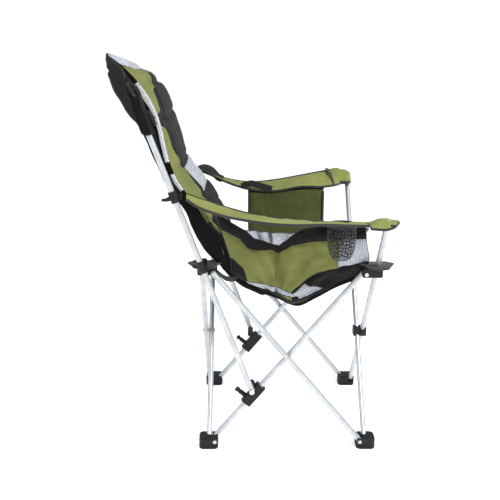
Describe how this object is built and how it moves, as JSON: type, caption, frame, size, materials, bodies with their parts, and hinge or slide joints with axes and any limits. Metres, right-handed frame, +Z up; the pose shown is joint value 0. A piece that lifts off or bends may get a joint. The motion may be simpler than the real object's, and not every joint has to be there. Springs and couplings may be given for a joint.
{
  "type": "folding camp chair",
  "caption": "Folding camp chair with a scissor tube frame, reclining high back, quilted bucket seat, padded arms, cup pouch and cooler bag.",
  "frame": {"origin": "on the floor under the middle of the bounding box of the opened chair", "axes": "+Z up, -Y the way the sitter faces, +X to the sitter's left"},
  "size_m": [0.78, 0.795, 1.138],
  "materials": {
    "frame_tube": "silver-grey powder coat",
    "black_moulding": "fine moulded grain",
    "bolt_steel": "zinc plated",
    "olive_cloth": "woven polyester",
    "charcoal_cloth": "woven polyester",
    "arm_cloth": "woven polyester",
    "bag_cloth": "woven polyester",
    "pouch_mesh": "open knitted mesh",
    "patch_cloth": "coated coarse weave"
  },
  "bodies": {
    "foot_rear_right": {"foot_rear_right": "black_moulding", "foot_rear_right_bolts": "bolt_steel"},
    "side_b_right": {"side_tube_b_right": "frame_tube", "side_cross_bolt_right": "bolt_steel"},
    "side_a_right": {"side_tube_a_right": "frame_tube"},
    "foot_front_right": {"foot_front_right": "black_moulding", "foot_front_right_bolts": "bolt_steel"},
    "hub_front_right": {"hub_front_right": "black_moulding", "hub_front_right_bolts": "bolt_steel", "patch_front_right": "patch_cloth"},
    "hub_rear_right": {"hub_rear_right": "black_moulding", "hub_rear_right_bolts": "bolt_steel", "patch_rear_right": "patch_cloth", "seat": "olive_cloth", "side_panel_right": "olive_cloth"},
    "rear_1": {"rear_tube_1": "frame_tube", "rear_cross_bolt": "bolt_steel"},
    "rear_2": {"rear_tube_2": "frame_tube"},
    "foot_rear_left": {"foot_rear_left": "black_moulding", "foot_rear_left_bolts": "bolt_steel"},
    "hub_rear_left": {"hub_rear_left": "black_moulding", "hub_rear_left_bolts": "bolt_steel", "patch_rear_left": "patch_cloth", "side_panel_left": "olive_cloth"},
    "side_b_left": {"side_tube_b_left": "frame_tube", "side_cross_bolt_left": "bolt_steel"},
    "side_a_left": {"side_tube_a_left": "frame_tube"},
    "foot_front_left": {"foot_front_left": "black_moulding", "foot_front_left_bolts": "bolt_steel"},
    "hub_front_left": {"hub_front_left": "black_moulding", "hub_front_left_bolts": "bolt_steel", "patch_front_left": "patch_cloth"},
    "front_1": {"front_tube_1": "frame_tube", "front_clamp_inner": "black_moulding", "front_clamp_bolt": "bolt_steel", "arm_left": "arm_cloth", "cooler_bag": "bag_cloth"},
    "front_2": {"front_tube_2": "frame_tube", "front_clamp_outer": "black_moulding", "arm_right": "arm_cloth", "cup_holder": "pouch_mesh"},
    "slider_right": {"slider_right": "black_moulding", "slider_bolt_right": "bolt_steel", "lock_spring_right": "bolt_steel"},
    "link_right": {"link_bush_right": "black_moulding"},
    "post_right": {"back_post_right": "frame_tube", "collar_right": "black_moulding", "backrest": "charcoal_cloth"},
    "liner_right": {"guide_liner_right": "black_moulding"},
    "guide_right": {"post_guide_right": "black_moulding"},
    "pin_right": {"lock_pin_right": "black_moulding"},
    "slider_left": {"slider_left": "black_moulding", "slider_bolt_left": "bolt_steel", "lock_spring_left": "bolt_steel"},
    "link_left": {"link_bush_left": "black_moulding"},
    "post_left": {"back_post_left": "frame_tube", "collar_left": "black_moulding"},
    "liner_left": {"guide_liner_left": "black_moulding"},
    "guide_left": {"post_guide_left": "black_moulding"},
    "pin_left": {"lock_pin_left": "black_moulding"}
  },
  "joints": [
    {"name": "fold", "type": "hinge", "parent": "foot_rear_right", "child": "side_b_right", "pos_m": [-0.216, 0.1095, 0.024], "axis": [-1, 0, 0], "range_deg": [0, 31.89], "deforming": ["seat", "side_panel_right", "side_panel_left", "backrest", "arm_right", "arm_left", "cooler_bag", "cup_holder", "patch_front_right", "patch_front_left", "patch_rear_right", "patch_rear_left"]},
    {"name": "side_cross_right", "type": "hinge", "parent": "side_b_right", "child": "side_a_right", "pos_m": [-0.24, -0.1045, 0.28], "axis": [1, 0, 0], "range_deg": [0, 63.79]},
    {"name": "foot_side_a_right", "type": "hinge", "parent": "side_a_right", "child": "foot_front_right", "pos_m": [-0.24, -0.3185, 0.024], "axis": [-1, 0, 0], "range_deg": [0, 31.9]},
    {"name": "hub_side_b_right", "type": "hinge", "parent": "side_b_right", "child": "hub_front_right", "pos_m": [-0.216, -0.3185, 0.536], "axis": [1, 0, 0], "range_deg": [0, 31.9]},
    {"name": "hub_side_a_right", "type": "hinge", "parent": "side_a_right", "child": "hub_rear_right", "pos_m": [-0.24, 0.1095, 0.536], "axis": [-1, 0, 0], "range_deg": [0, 31.9]},
    {"name": "foot_rear_1", "type": "hinge", "parent": "foot_rear_right", "child": "rear_1", "pos_m": [-0.214, 0.1263, 0.024], "axis": [0, -1, 0], "range_deg": [0, 31.9]},
    {"name": "rear_cross", "type": "hinge", "parent": "rear_1", "child": "rear_2", "pos_m": [0, 0.1429, 0.28], "axis": [0, 1, 0], "range_deg": [0, 63.79]},
    {"name": "foot_rear_2", "type": "hinge", "parent": "rear_2", "child": "foot_rear_left", "pos_m": [0.214, 0.1429, 0.024], "axis": [0, -1, 0], "range_deg": [0, 31.9]},
    {"name": "hub_rear_1", "type": "hinge", "parent": "rear_1", "child": "hub_rear_left", "pos_m": [0.214, 0.1263, 0.536], "axis": [0, 1, 0], "range_deg": [0, 31.9]},
    {"name": "foot_side_b_left", "type": "hinge", "parent": "foot_rear_left", "child": "side_b_left", "pos_m": [0.216, 0.1095, 0.024], "axis": [-1, 0, 0], "range_deg": [0, 31.9]},
    {"name": "side_cross_left", "type": "hinge", "parent": "side_b_left", "child": "side_a_left", "pos_m": [0.24, -0.1045, 0.28], "axis": [1, 0, 0], "range_deg": [0, 63.79]},
    {"name": "foot_side_a_left", "type": "hinge", "parent": "side_a_left", "child": "foot_front_left", "pos_m": [0.24, -0.3185, 0.024], "axis": [-1, 0, 0], "range_deg": [0, 31.9]},
    {"name": "hub_side_b_left", "type": "hinge", "parent": "side_b_left", "child": "hub_front_left", "pos_m": [0.216, -0.3185, 0.536], "axis": [1, 0, 0], "range_deg": [0, 31.9]},
    {"name": "foot_front_1", "type": "hinge", "parent": "foot_front_right", "child": "front_1", "pos_m": [-0.214, -0.3353, 0.024], "axis": [0, -1, 0], "range_deg": [0, 31.9]},
    {"name": "front_cross", "type": "hinge", "parent": "front_1", "child": "front_2", "pos_m": [0, -0.3519, 0.28], "axis": [0, 1, 0], "range_deg": [0, 63.79]},
    {"name": "recline", "type": "slide", "parent": "side_b_right", "child": "slider_right", "axis": [0, -0.6414, 0.7672], "range_m": [-0.062, 0.062]},
    {"name": "post_link_right", "type": "hinge", "parent": "slider_right", "child": "link_right", "pos_m": [-0.263, 0.00092, 0.19131], "axis": [1, 0, 0], "range_deg": [0, 48.48]},
    {"name": "post_lean_right", "type": "hinge", "parent": "link_right", "child": "post_right", "pos_m": [-0.263, 0.00092, 0.19131], "axis": [-1, 0, 0], "range_deg": [-7.83, 7.83]},
    {"name": "liner_slide_right", "type": "slide", "parent": "post_right", "child": "liner_right", "axis": [0, 0.3519, 0.936], "range_m": [-0.03035, 0.03035]},
    {"name": "guide_slide_right", "type": "slide", "parent": "liner_right", "child": "guide_right", "axis": [0, 0.3519, 0.936], "range_m": [0, 0.09277]},
    {"name": "lock_right", "type": "slide", "parent": "slider_right", "child": "pin_right", "axis": [0, 0.7672, 0.6414], "range_m": [0, 0.01], "stiffness_N_per_m": 600, "springref_m": -0.004, "deforming": ["lock_spring_right"]},
    {"name": "recline_left", "type": "slide", "parent": "side_b_left", "child": "slider_left", "axis": [0, -0.6414, 0.7672], "range_m": [-0.062, 0.062]},
    {"name": "post_link_left", "type": "hinge", "parent": "slider_left", "child": "link_left", "pos_m": [0.263, 0.00092, 0.19131], "axis": [1, 0, 0], "range_deg": [0, 48.48]},
    {"name": "post_lean_left", "type": "hinge", "parent": "link_left", "child": "post_left", "pos_m": [0.263, 0.00092, 0.19131], "axis": [-1, 0, 0], "range_deg": [-7.83, 7.83]},
    {"name": "liner_slide_left", "type": "slide", "parent": "post_left", "child": "liner_left", "axis": [0, 0.3519, 0.936], "range_m": [-0.03035, 0.03035]},
    {"name": "guide_slide_left", "type": "slide", "parent": "liner_left", "child": "guide_left", "axis": [0, 0.3519, 0.936], "range_m": [0, 0.09277]},
    {"name": "lock_left", "type": "slide", "parent": "slider_left", "child": "pin_left", "axis": [0, 0.7672, 0.6414], "range_m": [0, 0.01], "stiffness_N_per_m": 600, "springref_m": -0.004, "deforming": ["lock_spring_left"]}
  ],
  "couplings": [
    {"joint": "side_cross_right", "follows": "fold", "ratio": 2},
    {"joint": "foot_side_a_right", "follows": "fold", "ratio": 1},
    {"joint": "hub_side_b_right", "follows": "fold", "ratio": 1},
    {"joint": "hub_side_a_right", "follows": "fold", "ratio": 1},
    {"joint": "foot_rear_1", "follows": "fold", "ratio": 1},
    {"joint": "rear_cross", "follows": "fold", "ratio": 2},
    {"joint": "foot_rear_2", "follows": "fold", "ratio": 1},
    {"joint": "hub_rear_1", "follows": "fold", "ratio": 1},
    {"joint": "foot_side_b_left", "follows": "fold", "ratio": 1},
    {"joint": "side_cross_left", "follows": "fold", "ratio": 2},
    {"joint": "foot_side_a_left", "follows": "fold", "ratio": 1},
    {"joint": "hub_side_b_left", "follows": "fold", "ratio": 1},
    {"joint": "foot_front_1", "follows": "fold", "ratio": 1},
    {"joint": "front_cross", "follows": "fold", "ratio": 2},
    {"joint": "post_link_right", "follows": "fold", "ratio": 1.52},
    {"joint": "post_lean_right", "follows": "recline", "rad_per_m": 2.2028},
    {"joint": "liner_slide_right", "follows": "recline", "ratio": -0.4879},
    {"joint": "guide_slide_right", "follows": "fold", "m_per_rad": 0.16649},
    {"joint": "recline_left", "follows": "recline", "ratio": 1},
    {"joint": "post_link_left", "follows": "fold", "ratio": 1.52},
    {"joint": "post_lean_left", "follows": "recline", "rad_per_m": 2.2028},
    {"joint": "liner_slide_left", "follows": "recline", "ratio": -0.4879},
    {"joint": "guide_slide_left", "follows": "fold", "m_per_rad": 0.16649}
  ]
}
